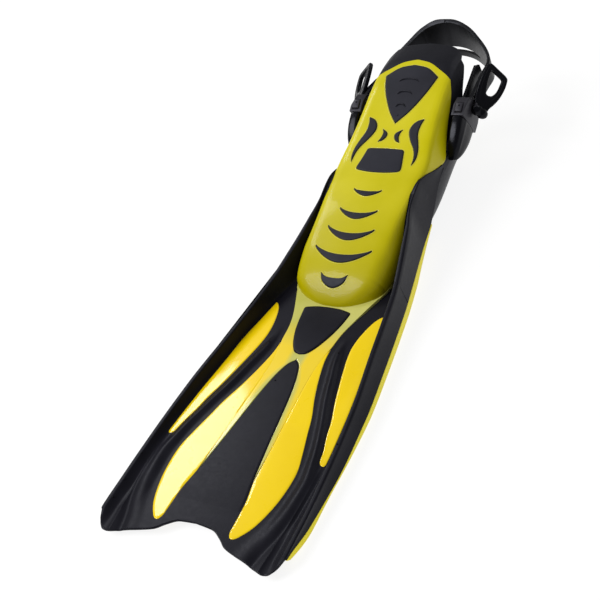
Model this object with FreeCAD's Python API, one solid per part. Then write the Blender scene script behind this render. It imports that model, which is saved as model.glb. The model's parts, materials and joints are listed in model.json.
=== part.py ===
import FreeCAD, Part
import math
import os

# Open-heel diving fin. Millimetres, +Z up, +Y towards the heel, X across the blade.
# Y is laid out from the notch in the blade tip; every node is then moved so that the
# origin is under the middle of the whole fin.

# blade plan: the outlines below are drawn at drawnLength and drawnHalfWidth and are
# stretched ahead of the neck to the length and half-width wanted
neckY = 288.0
bladeBackY = 388.0
bladeLength = 313.5
bladeHalfWidth = 107.3
drawnLength = 313.5
drawnHalfWidth = 107.3
wideEndY = 200.0
strapApexY = 661.7
shiftY = -(neckY - bladeLength + strapApexY) / 2

# blade
bladeTilt = 1.6
bladeLift = 10.0
bladeThick = 3.0
inlayInset = 0.3
ribHalf = 4.6
ribHigh = 3.0
railTopThick = 5.0
railFootThick = 9.0
stripeThick = 6.0
stripeProud = 0.0

# foot pocket
wallThick = 3.4
soleThick = 6.0
footbedThick = 2.0
footbedGap = 0.0
padHigh = 0.9
treadDeep = 1.2
drainRadius = 4.0

# buckle, in its own frame: x outwards, u along the pod, v across it
postY = 508.0
postZ = 66.0
podTilt = 22.0
podInner = 59.2
podOuter = 73.0
postRadius = 4.0
postClear = 0.05
clipInner = 58.4
clipOuter = 73.0
clipSeam = 27.5
slideClear = 0.35
tongueHalf = 9.0
tongueLong = 15.0
releaseTravel = 12.0
buttonTravel = 1.2
buttonClear = 0.35

# strap
strapSlope = 10.0
strapThick = 3.6
strapHigh = 22.0
legX = 69.0
rollerY = 545.0
rollerRadius = 1.8
rollerClear = 0.05
rollerGap = 0.1
tailX = legX - strapThick - 2 * (rollerRadius + rollerGap)
adjustTravel = 12.0
toothPitch = 4.0
toothHigh = 1.0
tailLong = 58.0
tailToe = 0.085

# lever
leverPivot = (79.6, 553.0, 82.0)
ringTop = (78.4, 596.6, 109.2)
ringCorner = (92.4, 598.4, 87.3)
leverThick = 5.0
leverOpen = 35.0
axleRadius = 1.5
axleClear = 0.05
knuckleRadius = 4.2
knuckleHalf = 6.5
earThick = 3.0
earGap = 0.4

V = FreeCAD.Vector
IDENT = V(0, 0, 0)
AX = V(1, 0, 0)
AY = V(0, 1, 0)
AZ = V(0, 0, 1)
nodes = {}


def planY(y):
    if y > neckY:
        return y
    return neckY - (neckY - y) * bladeLength / drawnLength


def planX(x, y):
    share = min(max((bladeBackY - y) / (bladeBackY - wideEndY), 0), 1)
    return x * (1 + (bladeHalfWidth / drawnHalfWidth - 1) * share)


def onPlan(arc):
    return [(planX(x, y), planY(y)) for x, y in arc]


def arcEdge(points):
    if len(points) == 2:
        return Part.makeLine(points[0], points[1])
    curve = Part.BSplineCurve()
    curve.interpolate(points)
    return curve.toShape()


def flat(arcs, level):
    edges = []
    for arc in arcs:
        edges.append(arcEdge([V(x, y, level) for x, y in arc]))
    return Part.Face(Part.Wire(edges))


def prism(arcs, low, high):
    return flat(arcs, low).extrude(V(0, 0, high - low))


def sidePrism(points, half):
    corners = [V(-half, y, z) for y, z in points]
    corners.append(corners[0])
    return Part.Face(Part.makePolygon(corners)).extrude(V(2 * half, 0, 0))


def flipped(arcs):
    out = []
    for arc in reversed(arcs):
        out.append([(-x, y) for x, y in reversed(arc)])
    return out


def bothSides(arcs):
    return list(arcs) + flipped(arcs)


def mirrored(shape):
    return shape.mirror(IDENT, AX)


def keep(name, shape, placed=False):
    solid = shape.removeSplitter()
    solid.translate(V(0, shiftY, 0))
    nodes[name] = solid
    if len(solid.Solids) != 1:
        print("node", name, "has", len(solid.Solids), "solids")


def keepPair(name, shape):
    keep(name + "_R", shape)
    keep(name + "_L", mirrored(shape))


def onBlade(shape):
    shape.rotate(IDENT, AX, bladeTilt)
    shape.translate(V(0, 0, bladeLift))
    return shape


def box(x0, x1, y0, y1, z0, z1):
    return Part.makeBox(x1 - x0, y1 - y0, z1 - z0, V(x0, y0, z0))


def rod(radius, start, along, length):
    return Part.makeCylinder(radius, length, start, along)


def biggest(shape):
    return max(shape.Solids, key=lambda s: s.Volume)


# ---------------------------------------------------------------- outlines
tipEdge = onPlan([(0, 6), (20, 3), (35, -5), (50, -12.5), (65, -18.5), (80, -22.5), (94, -25.5)])
tipLobe = onPlan([(94, -25.5), (103, -20.5), (107, -9)])
bladeSide = onPlan([(107, -9), (107.3, 33), (106.5, 86), (101.5, 158), (91, 225), (76.5, 302), (67, 345),
             (58, bladeBackY)])
bladeBack = onPlan([(58, bladeBackY), (0, bladeBackY)])

leafOuter = onPlan([(38.8, 13), (39.3, 5), (42.5, -0.8), (47.5, -0.5), (54.5, 7), (61, 18), (68, 40),
             (71.3, 62), (71.3, 84), (66.5, 104), (59.5, 128), (54.5, 146), (45, 171),
             (37, 197), (32.3, 219), (31.5, 236)])
neckOuter = onPlan([(31.5, 236), (33.5, 255), (38, 272), (47, 291), (54, 306), (60, 322)])
neckBack = onPlan([(60, 322), (0, 322)])
panelFoot = onPlan([(0, 13), (38.8, 13)])
panelLow = onPlan([(38.8, 13), (37.3, 39), (33, 62)])
panelHigh = onPlan([(33, 62), (29.5, 84), (25.5, 110), (21.5, 140), (17, 170), (12, 192), (6.5, 206),
             (0, 212.5)])
leafSeam = onPlan([(31.5, 236), (27.5, 222), (25.5, 195), (27.5, 150), (30.5, 105), (33, 62)])
shieldTopEdge = onPlan([(0, 288.5), (15, 287.3), (28, 282.5)])
shieldSide = onPlan([(28, 282.5), (25, 264), (21, 248), (13.5, 230), (7, 221.5), (0, 219.5)])
outerLeafIn = onPlan([(92, 95.5), (88, 98), (84.5, 113), (78.5, 132), (75, 147), (67.5, 170), (62, 190),
               (57, 210), (53.5, 226), (52, 240), (53.5, 257), (59, 277), (64, 285), (68, 287.5)])
outerLeafOut = onPlan([(68, 287.5), (73, 264), (80, 232), (84.5, 195), (90, 155), (93, 128), (95, 103),
                (92, 95.5)])
ribPath = onPlan([(70, -6), (78.5, 18), (84, 45), (85.5, 72), (81.5, 96), (76, 118), (68.5, 142),
           (58.5, 170), (50.5, 198), (44, 222), (42.5, 236)])
ribScale = [0.25, 0.8, 1, 1, 0.95, 0.95, 0.95, 0.95, 0.95, 0.8, 0.3]


def back(arc):
    return list(reversed(arc))


# ---------------------------------------------------------------- blade
plateOutline = bothSides([tipEdge, tipLobe, bladeSide, bladeBack])
plate = prism(plateOutline, -bladeThick, 0)
windowOutline = bothSides([panelFoot, leafOuter, neckOuter, neckBack])
window = prism(windowOutline, -bladeThick - 1, 1)
outerWindow = prism([outerLeafIn, outerLeafOut], -bladeThick - 1, 1)
bladeFull = onBlade(plate.copy())
frame = plate.cut(window).cut(outerWindow).cut(mirrored(outerWindow))

low = -bladeThick + inlayInset
panel = prism(bothSides([panelFoot, panelLow, panelHigh]), low, 0)
leaf = prism([leafOuter, leafSeam, back(panelLow)], low, -inlayInset)
outerLeaf = prism([outerLeafIn, outerLeafOut], low, -inlayInset)
yokeOutline = bothSides([back(panelHigh), back(leafSeam), neckOuter, neckBack])
shieldOutline = bothSides([shieldTopEdge, shieldSide])
yoke = prism(yokeOutline, low, 0).cut(prism(shieldOutline, -bladeThick - 1, 1))
shield = prism(shieldOutline, low, inlayInset)

ribSections = []
for (x, y), size in zip(ribPath, ribScale):
    left = V(x - ribHalf * size, y, 0)
    right = V(x + ribHalf * size, y, 0)
    top = V(x, y, ribHigh * size)
    ribSections.append(Part.Wire([Part.makeLine(left, right), Part.Arc(right, top, left).toShape()]))
rib = Part.makeLoft(ribSections, True, False)

# ---------------------------------------------------------------- foot pocket
# y, sole half-width, sole z, low corner x and z, side x and z, flank x and z, crease x and z, top z
stations = [
    (291, 14, 12.5, 18, 13.5, 20, 16, 19, 19.5, 16, 21.5, 23),
    (297, 20, 10, 27, 12, 31, 17, 29.5, 21.5, 24, 25.5, 26.5),
    (306, 26, 7, 36, 11, 42, 19, 39, 25.5, 31, 30, 31),
    (318, 31, 4, 43, 9.5, 51, 21, 47, 31, 37, 38.5, 40.5),
    (334, 33.5, 1.2, 47.5, 9, 56, 24, 52.5, 37, 42, 47, 49),
    (352, 34, 0, 48.5, 9.5, 57.5, 28, 55, 44, 46, 54, 56),
    (385, 34, 0, 49, 10, 58, 33, 56, 50, 49, 64, 66),
    (424, 34, 0, 49, 11, 58, 40, 57, 58, 53, 72.5, 74),
    (455, 33, 0, 48, 12, 58, 45, 57.5, 62, 55, 78.5, 80),
    (486, 30, 0, 46, 15, 57.8, 50, 56, 70, 51, 90, 90.5),
    (520, 28, 2.5, 44, 21, 57.5, 54, 55.5, 80, 47.8, 103.5, 103),
    (555, 26, 4.5, 42, 24, 56.5, 58, 54, 90, 46.7, 115, 116.5),
    (590, 25, 5.5, 41, 26, 55.5, 62, 52.5, 96, 47, 120.5, 126.5),
    (625, 25, 6, 41, 27, 55, 64, 51.5, 97, 46, 119, 125),
]


def pocketWire(row, grow, sole, move):
    y, hx, hz, cx, cz, sx, sz, fx, fz, kx, kz, top = row
    y = y + move
    slim = grow * 0.7
    foot = hz - sole
    right = [V(hx + slim, y, foot), V(cx + slim, y, cz - slim), V(sx + grow, y, sz)]
    flank = [V(sx + grow, y, sz), V(fx + grow, y, fz + grow * 0.2), V(kx + slim, y, kz + grow)]
    edges = [Part.makeLine(V(-hx - slim, y, foot), right[0])]
    edges.append(arcEdge(right))
    edges.append(arcEdge(flank))
    edges.append(arcEdge([flank[2], V(0, y, top + grow), V(-flank[2].x, y, flank[2].z)]))
    edges.append(arcEdge([V(-p.x, p.y, p.z) for p in reversed(flank)]))
    edges.append(arcEdge([V(-p.x, p.y, p.z) for p in reversed(right)]))
    return Part.Wire(edges)


def pocketBody(rows, grow, sole, move):
    return Part.makeLoft([pocketWire(row, grow, sole, move) for row in rows], True, False)


outer = pocketBody(stations, 0, 0, 0)
cavity = pocketBody(stations[2:], -wallThick, -soleThick, 9)
grown = pocketBody(stations, padHigh, 0, 0)
print("pocket volumes", outer.Volume, cavity.Volume, grown.Volume, outer.isValid(), grown.isValid())

heelSide = [(200, -20), (549, -20), (549, 12), (543, 26), (541, 44), (547, 64), (565, 91.5),
            (584, 112), (616, 127), (640, 150), (200, 150)]
heelArc = bothSides([[(0, 616), (20, 613), (38, 602), (49.6, 588)], [(49.6, 588), (75, 560)],
                     [(75, 560), (75, 200)], [(75, 200), (0, 200)]])
boot = outer.cut(cavity).common(sidePrism(heelSide, 90)).common(prism(heelArc, -20, 160))
yellowSide = [(200, 5), (291, 12.5), (318, 24), (345, 42), (385, 59), (424, 71), (465, 67),
              (492, 62), (499, 72), (518, 84), (545, 101), (563, 117), (640, 160), (200, 160)]
yellowArc = bothSides([[(0, 583.3), (14, 580.5), (32, 571), (46.7, 562.5)], [(46.7, 562.5), (75, 546)],
                       [(75, 546), (75, 200)], [(75, 200), (0, 200)]])
yellowTool = sidePrism(yellowSide, 90).common(prism(yellowArc, -20, 170))
upper = biggest(boot.common(yellowTool))
dark = boot.cut(yellowTool)
cuffTool = sidePrism([(492, 62), (570, 40), (660, 40), (660, 170), (450, 170), (450, 75)], 90)
cuff = biggest(dark.common(cuffTool))
base = biggest(dark.cut(cuffTool))

for y, x in ((345, 14), (345, -14), (375, 18), (375, -18)):
    base = base.cut(rod(drainRadius, V(x, y, -5), AZ, 14))

bedRows = [(345, 20), (365, 30), (400, 34), (450, 33), (490, 30), (525, 27), (541, 22)]
bedArc = [(x, y) for y, x in bedRows]
bedOutline = bothSides([[(0, 334), (20, 345)], bedArc, [(22, 541), (0, 545)]])
bed = prism(bedOutline, 2, soleThick + footbedThick).common(cavity)
for y, x in ((345, 14), (345, -14), (375, 18), (375, -18)):
    bed = bed.cut(rod(drainRadius, V(x, y, -5), AZ, 24))
bed = biggest(bed)

treadOutline = bothSides([[(0, 395), (26, 398)], [(26, 398), (26.5, 440), (25, 468)],
                          [(25, 468), (0, 472)]])
tread = prism(treadOutline, 0, treadDeep * 2)
for k in range(6):
    y = 405 + 11 * k
    tread = tread.cut(box(-40, 40, y, y + 4, -1, treadDeep))
base = base.cut(prism(treadOutline, -1, treadDeep * 2))



def pad(arcs, low=26):
    return biggest(prism(arcs, low, 150).common(grown).cut(outer))


def crescent(half, tip, bottom, thick):
    under = [(-half, tip), (-half * 0.55, bottom + (tip - bottom) * 0.28), (0, bottom),
             (half * 0.55, bottom + (tip - bottom) * 0.28), (half, tip)]
    crown = bottom + thick
    over = [(half, tip), (half * 0.5, crown + (tip - crown) * 0.22), (0, crown),
            (-half * 0.5, crown + (tip - crown) * 0.22), (-half, tip)]
    return [under, over]


instepOutline = bothSides([[(0, 575.5), (18, 572), (33.5, 561.8)],
                           [(33.5, 561.8), (28.5, 546), (20.5, 530), (11, 515.5), (0, 503)]])
instep = pad(instepOutline)
ridged = pocketBody(stations, padHigh * 2.2, 0, 0)
for half, y in ((13, 557), (9.5, 541), (5, 525)):
    bar = prism(bothSides([[(0, y + 1.2), (half * 0.6, y + 0.6), (half, y - 3)],
                           [(half, y - 3), (half * 0.6, y - 1.8), (0, y - 1.2)]]), 60, 150)
    instep = instep.fuse(biggest(bar.common(ridged).cut(outer)))
largeFlame = [[(35.2, 509.6), (33, 501), (33.2, 492), (37, 482), (40, 473), (41, 464), (40, 458),
               (38, 453.8)],
              [(38, 453.8), (37, 465), (33.5, 473.5), (28, 481), (23, 489), (21, 495.5),
               (23, 502.5), (27.5, 507), (35.2, 509.6)]]
smallFlame = [[(13, 496.2), (10.7, 491), (11, 486), (13.7, 480.2)],
              [(13.7, 480.2), (8.5, 482), (4.8, 486.7), (5.4, 491.3), (13, 496.2)]]
badgeOutline = bothSides([[(0, 472.6), (20.5, 472.2)], [(20.5, 472.2), (23, 471), (23.8, 468)],
                          [(23.8, 468), (28, 448.5)], [(28, 448.5), (28, 445.4), (25, 443.8)],
                          [(25, 443.8), (12, 442), (0, 441.5)]])

# ---------------------------------------------------------------- rails
# y, outer x at the top, top z, outer x at the foot, foot z, stripe bottom z
railRows = [
    (-14, 107.5, 13.5, 107.5, 11.5, 8.5),
    (-3.6, 110, 16, 110.4, 12.5, 6.5),
    (33, 109.4, 16.6, 110.6, 6.7, 0),
    (86, 106.8, 20.2, 110.2, 5.6, 3.6),
    (158, 100.4, 25.4, 105.8, 8.3, 1.4),
    (225, 89.8, 30.4, 95.8, 9.4, 0),
    (302, 78.4, 37.2, 82, 10.4, 0),
    (344.5, 70.6, 47.3, 73.4, 13, 2),
    (381, 63.4, 58.8, 66, 16, 8),
    (408, 57.6, 70, 61.6, 19, 16.5),
]
railEnd = [(424, 54.5, 75.5, 59.8, 22), (440, 52, 66, 58.6, 26)]


def railWire(y, topX, topZ, footX, footZ):
    a = V(footX, y, footZ)
    b = V(topX, y, topZ)
    c = V(topX - railTopThick, y, topZ - 0.4)
    d = V(footX - railFootThick, y, footZ)
    return Part.makePolygon([a, b, c, d, a])


def stripeWire(y, footX, footZ, lowZ):
    a = V(footX, y, lowZ)
    b = V(footX, y, footZ)
    c = V(footX - stripeThick, y, footZ)
    d = V(footX - stripeThick, y, lowZ)
    return Part.makePolygon([a, b, c, d, a])


railRows = [(planY(y), planX(a, y), b, planX(c, y), d, e) for y, a, b, c, d, e in railRows]
railWires = [railWire(*row[:5]) for row in railRows] + [railWire(*row) for row in railEnd]
stripeWires = [stripeWire(row[0], row[3], row[4], row[5]) for row in railRows]
rail = Part.makeLoft(railWires, True, True).cut(outer).cut(bladeFull)
stripe = Part.makeLoft(stripeWires, True, True).cut(outer).cut(bladeFull)
rail = biggest(rail)
stripe = biggest(stripe)

keep("blade_frame", biggest(onBlade(frame).cut(outer)))
keep("centre_panel", onBlade(panel))
keepPair("inner_inlay", onBlade(leaf))
keepPair("outer_inlay", onBlade(outerLeaf))
keep("neck_yoke", biggest(onBlade(yoke).cut(outer)))
keep("neck_shield", onBlade(shield))
keepPair("mid_rib", onBlade(rib))
keepPair("side_rail", rail)
keepPair("rail_stripe", stripe)
keep("pocket_base", base)
keep("pocket_upper", upper)
keep("pocket_cuff", cuff)
keep("footbed", bed)
keep("sole_tread", tread)
keep("instep_shield", instep)
keepPair("large_flame", pad(largeFlame))
keepPair("small_flame", pad(smallFlame))
keep("name_plate", pad(badgeOutline))
for index, dims in enumerate(((16.4, 416.9, 409, 5.5), (22.7, 390.6, 379, 6.5), (28.2, 367.5, 353.5, 7),
                              (34.2, 343.6, 327.5, 7.5))):
    keep("crescent_" + str(index + 1), pad(crescent(*dims)))
smile = [[(-16.5, 314), (-13, 307.5), (0, 303.5), (13, 307.5), (16.5, 314)],
         [(16.5, 314), (10, 310.6), (0, 309.6), (-10, 310.6), (-16.5, 314)]]
keep("toe_smile", pad(smile, 20))

# ---------------------------------------------------------------- buckle frame


def toBuckle(shape):
    shape.rotate(IDENT, AX, podTilt)
    shape.translate(V(0, postY, postZ))
    return shape


def uvPrism(points, x0, x1):
    corners = [V(x0, u, v) for u, v in points]
    corners.append(corners[0])
    return Part.Face(Part.makePolygon(corners)).extrude(V(x1 - x0, 0, 0))


strapDir = V(0, math.cos(math.radians(strapSlope)), math.sin(math.radians(strapSlope)))
strapUp = V(0, -strapDir.z, strapDir.y)
rollerZ = 84.6 - (562 - rollerY) * math.tan(math.radians(strapSlope))
rollerX = (legX + tailX) / 2
bendRadius = (legX - tailX) / 2 + strapThick / 2


def toStrap(shape):
    shape.rotate(IDENT, AX, strapSlope)
    shape.translate(V(0, rollerY, rollerZ))
    return shape


# post: a flange bedded on the pocket's side, a shaft and a head
postStart = 56.0
post = rod(postRadius, V(postStart, postY, postZ), AX, podOuter + 2 - postStart)
flange = rod(8.0, V(postStart - 4, postY, postZ), AX, podInner - slideClear - postStart + 4)
head = rod(6.0, V(podOuter + slideClear, postY, postZ), AX, 1.6)
post = post.fuse(flange).fuse(head).cut(outer)
post = biggest(post)

rise = strapHigh / 2 - 11.0
podOutline = [(-14.5, -4), (-12, -9), (0, -14.5), (14, -17.8 - rise), (clipSeam, -18.5 - rise),
              (clipSeam, 19.5 + rise), (14, 17 + rise), (0, 11), (-11, 1.5)]
pod = uvPrism(podOutline, podInner, podOuter)
pod = pod.makeChamfer(2.2, [e for e in pod.Edges if abs(e.BoundBox.XMin - podOuter) < 0.01
                            and e.BoundBox.XLength < 0.01 and e.BoundBox.YMin < clipSeam - 0.01])
pod = pod.cut(rod(postRadius + postClear, V(podInner - 1, 0, 0), AX, podOuter - podInner + 2))
socketLong = tongueLong + 1.0
socket = box(62.5 - slideClear, 70 + slideClear, clipSeam - socketLong, clipSeam + 1,
             -tongueHalf - slideClear, tongueHalf + slideClear)
pod = pod.cut(socket)

clipOutline = [(clipSeam + slideClear, -18.5 - rise), (clipSeam + slideClear, 19.5 + rise),
               (41, 21 + rise), (51, 18 + rise), (57.5, 8 + rise), (57.5, -14.5 - rise),
               (48, -17.5 - rise)]
clip = uvPrism(clipOutline, clipInner, clipOuter)
clip = clip.makeChamfer(2.2, [e for e in clip.Edges if abs(e.BoundBox.XMin - clipOuter) < 0.01
                              and e.BoundBox.XLength < 0.01 and e.BoundBox.YMin > clipSeam + 1])
tongue = box(62.5, 70, clipSeam - tongueLong, clipSeam + 2, -tongueHalf, tongueHalf)
clip = clip.fuse(tongue)
buttonLow, buttonHigh = 31.0, 43.0
buttonDeep = 4.2
buttonX0, buttonX1 = 62.0, 70.0
upperSeat = 15.6 + rise
lowerSeat = -14.2 - rise
upperButton = uvPrism([(buttonLow, upperSeat), (buttonHigh, upperSeat),
                       (buttonHigh - 1, upperSeat + 6.8), (buttonLow + 1, upperSeat + 6)],
                      buttonX0, buttonX1)
lowerButton = uvPrism([(buttonLow, lowerSeat), (buttonHigh, lowerSeat),
                       (buttonHigh - 1, lowerSeat - 5.4), (buttonLow + 1, lowerSeat - 5.7)],
                      buttonX0, buttonX1)
for v0, v1 in ((upperSeat - buttonTravel - buttonClear, upperSeat + 10.4),
               (lowerSeat - 11.8, lowerSeat + buttonTravel + buttonClear)):
    clip = clip.cut(box(buttonX0 - buttonClear, buttonX1 + buttonClear, buttonLow - buttonClear,
                        buttonHigh + buttonClear, v0, v1))
clip = toBuckle(clip)
pod = toBuckle(pod)
upperButton = toBuckle(upperButton)
lowerButton = toBuckle(lowerButton)

# strap passage through the clip
gap = 0.35
halfHigh = strapHigh / 2
legRun = box(legX - strapThick / 2 - gap, legX + strapThick / 2 + toothHigh + gap, 0, 60,
             -halfHigh - gap, halfHigh + gap)
tailRun = box(tailX - strapThick / 2 - toothHigh - gap - 4, tailX + strapThick / 2 + gap, 0, 60,
              -halfHigh - gap, halfHigh + gap)
tailRun.translate(V(0, rollerRadius, 0))
loopRun = rod(bendRadius + gap, V(rollerX, 0, -halfHigh - gap), AZ, strapHigh + 2 * gap)
innerRun = box(tailX - bendRadius + bendRadius - strapThick / 2 - gap, legX, 0, rollerRadius + 1,
               -halfHigh - gap, halfHigh + gap)
core = box(tailX + strapThick / 2, legX - strapThick / 2, 0, 60, -halfHigh - gap, halfHigh + gap)
clip = clip.cut(toStrap(legRun.fuse(tailRun).fuse(loopRun).fuse(innerRun).fuse(core)))
roller = rod(rollerRadius, V(rollerX, 0, -halfHigh - 2.2), AZ, strapHigh + 4.4)
rollerHole = rod(rollerRadius + rollerClear, V(rollerX, 0, -halfHigh - 2.3), AZ, strapHigh + 4.6)
clip = clip.cut(toStrap(rollerHole.copy()))
roller = toStrap(roller)

bend = rod(bendRadius, V(rollerX, 0, -halfHigh), AZ, strapHigh)
bend = bend.cut(rod(rollerRadius + rollerClear, V(rollerX, 0, -halfHigh - 1), AZ, strapHigh + 2))
bend = bend.cut(box(rollerX - 10, rollerX + 10, 0, 20, -halfHigh - 1, halfHigh + 1))
bend = toStrap(bend)

# lever frame
P0 = V(*leverPivot)
ringMid = (V(*ringTop) + V(*ringCorner)) * 0.5
lev2 = ringMid - P0
lev2.normalize()
cross = V(*ringCorner) - V(*ringTop)
lev1 = cross - lev2 * cross.dot(lev2)
lev1.normalize()
lev3 = lev2.cross(lev1)
if lev3.x < 0:
    lev3 = lev3 * -1
leverSpin = lev1 if lev1.cross(lev2).dot(lev3) > 0 else lev1 * -1


def toLever(shape):
    m = FreeCAD.Matrix(lev1.x, lev2.x, lev3.x, P0.x, lev1.y, lev2.y, lev3.y, P0.y,
                       lev1.z, lev2.z, lev3.z, P0.z, 0, 0, 0, 1)
    return shape.transformGeometry(m) if m.determinant() < 0 else shape.transformed(m)


arm = [(-6.5, 0), (6.5, 0), (8.5, 9), (15, 22), (14.5, 45), (10.5, 50), (-9.5, 53.5), (-14.5, 50), (-12, 27),
       (-8.5, 9)]
hole = [(-7, 46), (7.5, 43.5), (8.5, 27), (3, 20.5), (-2.5, 20.5)]
half = leverThick / 2


def levPrism(points, z0, z1):
    corners = [V(a, b, z0) for a, b in points]
    corners.append(corners[0])
    return Part.Face(Part.makePolygon(corners)).extrude(V(0, 0, z1 - z0))


lever = levPrism(arm, -half, half)
lever = lever.fuse(rod(knuckleRadius, V(-knuckleHalf, 0, 0), AX, 2 * knuckleHalf))
lever = lever.cut(levPrism(hole, -half - 1, half + 1))
lever = lever.cut(rod(axleRadius + axleClear, V(-knuckleHalf - 1, 0, 0), AX, 2 * knuckleHalf + 2))
axleHalf = knuckleHalf + earGap + earThick
axle = rod(axleRadius, V(-axleHalf, 0, 0), AX, 2 * axleHalf)
ears = None
for sign in (-1, 1):
    a0 = sign * (knuckleHalf + earGap)
    a1 = sign * axleHalf
    lo, hi = min(a0, a1), max(a0, a1)
    ear = rod(4.4, V(lo, 0, 0), AX, hi - lo).fuse(box(lo, hi, -4.4, 4.4, -10.0, 0))
    ear = ear.cut(rod(axleRadius, V(lo - 1, 0, 0), AX, hi - lo + 2))
    ears = ear if ears is None else ears.fuse(ear)
ears = toLever(ears)
leverShape = toLever(lever)
axleShape = toLever(axle)
stop = toLever(box(-knuckleHalf - 0.2, knuckleHalf + 0.2, -5.4, 6, -30, -half - 2.2))
clip = clip.fuse(ears)
sweepRoom = toLever(rod(knuckleRadius + 0.5, V(-knuckleHalf - earGap, 0, 0), AX,
                        2 * (knuckleHalf + earGap)))
clip = clip.cut(sweepRoom).cut(axleShape)
armRoom = [(a * 1.0, b) for a, b in ((-knuckleHalf - 0.4, 0), (knuckleHalf + 0.4, 0), (9.2, 9),
                                     (15.6, 22), (15, 54), (-15, 54), (-12.6, 27), (-9.2, 9))]
clip = clip.cut(toLever(levPrism(armRoom, -half - 0.5, half + 40)))
clip = clip.cut(toStrap(box(legX - strapThick / 2 - gap, legX + strapThick / 2 + toothHigh + gap, 0,
                            60, -halfHigh - gap, halfHigh + gap)))
clip = biggest(clip)

# ---------------------------------------------------------------- strap
legFront = rollerY + 0.0
bandOuter = [(legX + strapThick / 2, 585), (71.6, 600), (72, 612), (69, 620.5), (62, 629.5),
             (49.6, 641), (34.7, 652.3), (19.8, 659), (0, strapApexY)]
bandOuterL = [(-x, y) for x, y in reversed(bandOuter)]


def inward(arc, t):
    out = []
    for i, (x, y) in enumerate(arc):
        x0, y0 = arc[max(i - 1, 0)]
        x1, y1 = arc[min(i + 1, len(arc) - 1)]
        dx, dy = x1 - x0, y1 - y0
        if i == 0:
            dx, dy = 0, 1
        if i == len(arc) - 1:
            dx, dy = -1, 0
        size = math.hypot(dx, dy)
        out.append((x - dy / size * t, y + dx / size * t))
    return out


bandInner = inward(bandOuter, strapThick)
legOut = [(legX + strapThick / 2, 520), (legX + strapThick / 2, 585)]
legIn = [(legX - strapThick / 2, 585), (legX - strapThick / 2, 520)]
legEnd = [(legX - strapThick / 2, 520), (legX + strapThick / 2, 520)]
rightBand = [legOut, bandOuter]
bandFace = rightBand + flipped(rightBand)
bandFace.append([(-legX - strapThick / 2, 520), (-legX + strapThick / 2, 520)])
leftInner = flipped([back(bandInner), [bandInner[0], (legX - strapThick / 2, 520)]])
bandFace.append([(-legX + strapThick / 2, 520), (-bandInner[0][0], bandInner[0][1])])
bandFace.append([(-x, y) for x, y in bandInner])
bandFace.append(back(bandInner))
bandFace.append([bandInner[0], (legX - strapThick / 2, 520)])
bandFace.append(legEnd)
band = prism(bandFace, 40, 160)
slopeTan = math.tan(math.radians(strapSlope))
legMid = [84.6 + (y - 562) * slopeTan for y in (500, 600)]
halfAcross = halfHigh / math.cos(math.radians(strapSlope))
bandSide = [(500, legMid[0] - halfAcross), (600, legMid[1] - halfAcross), (622, 82.4), (670, 80),
            (670, 129.5), (661, 128.6), (656, 125), (644, 119), (630, 112.5), (618, 106.2),
            (600, legMid[1] + halfAcross), (500, legMid[0] + halfAcross)]
band = band.common(sidePrism(bandSide, 100))
front = toStrap(box(-100, 100, -80, 0.15, -60, 60))
band = band.cut(front)
lens = []
for k in range(13):
    a = math.pi * k / 12
    lens.append(V(46 * math.cos(a), 600, 89.5 + 3.6 * math.sin(a)))
for k in range(1, 12):
    a = math.pi * k / 12
    lens.append(V(-46 * math.cos(a), 600, 89.5 - 2.4 * math.sin(a)))
lens.append(lens[0])
band = band.cut(Part.Face(Part.makePolygon(lens)).extrude(V(0, 90, 0)))
bump = Part.makeSphere(2.0, V(0, 660.2, 126.6)).common(box(-4, 4, 650, strapApexY, 120, 135))
band = band.fuse(bump)


def teeth(x, outward, start, count):
    bars = []
    for k in range(count):
        y = start + toothPitch * k
        corners = [V(x, y, 0), V(x + outward * toothHigh, y + 0.8, 0),
                   V(x + outward * toothHigh, y + 1.6, 0), V(x, y + 2.6, 0), V(x, y, 0)]
        face = Part.Face(Part.makePolygon(corners))
        face.translate(V(0, 0, -halfHigh + 2))
        bars.append(face.extrude(V(0, 0, strapHigh - 4)))
    return bars


for bar in teeth(legX + strapThick / 2 - 0.05, 1, 2, 9):
    bar = toStrap(bar)
    band = band.fuse(bar).fuse(mirrored(bar))

tail = box(tailX - strapThick / 2, tailX + strapThick / 2, 0, tailLong, -halfHigh, halfHigh)
for bar in teeth(tailX - strapThick / 2 + 0.05, -1, 2, 13):
    tail = tail.fuse(bar)
tail = tail.cut(box(tailX - 10, tailX + 10, tailLong - 6, tailLong + 1, halfHigh - 5, halfHigh + 1))
tail.rotate(V(tailX, 0, 0), AZ, math.degrees(math.atan(tailToe)))
tail.translate(V(-tailToe * adjustTravel, adjustTravel + 0.6, 0))
tail = toStrap(tail)
clip = biggest(clip.cut(toStrap(box(tailX - 12, tailX, 14, 60, -halfHigh - gap, halfHigh + gap))))

keepPair("post", post)
keepPair("pod", pod)
keepPair("clip", clip)
keepPair("upper_button", upperButton)
keepPair("lower_button", lowerButton)
keepPair("roller", roller)
keepPair("strap_bend", bend)
keepPair("strap_tail", tail)
keepPair("lever_axle", axleShape)
keepPair("lever", leverShape)
keep("heel_strap", band)

os.makedirs("parts", exist_ok=True)
for name, shape in nodes.items():
    shape.exportStep("parts/" + name + ".step")
print(len(nodes), "nodes; lever pivot", P0.x, P0.y + shiftY, P0.z, "axis", leverSpin.x, leverSpin.y, leverSpin.z)
tailDir = V(-tailToe, 1, 0).normalize()
rot = FreeCAD.Rotation(AX, strapSlope)
print("tail axis", rot.multVec(tailDir), "strap axis", strapDir, "shift", shiftY)
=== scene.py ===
import bpy
import json
import math
from mathutils import Vector, Matrix
from mathutils.bvhtree import BVHTree


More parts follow.
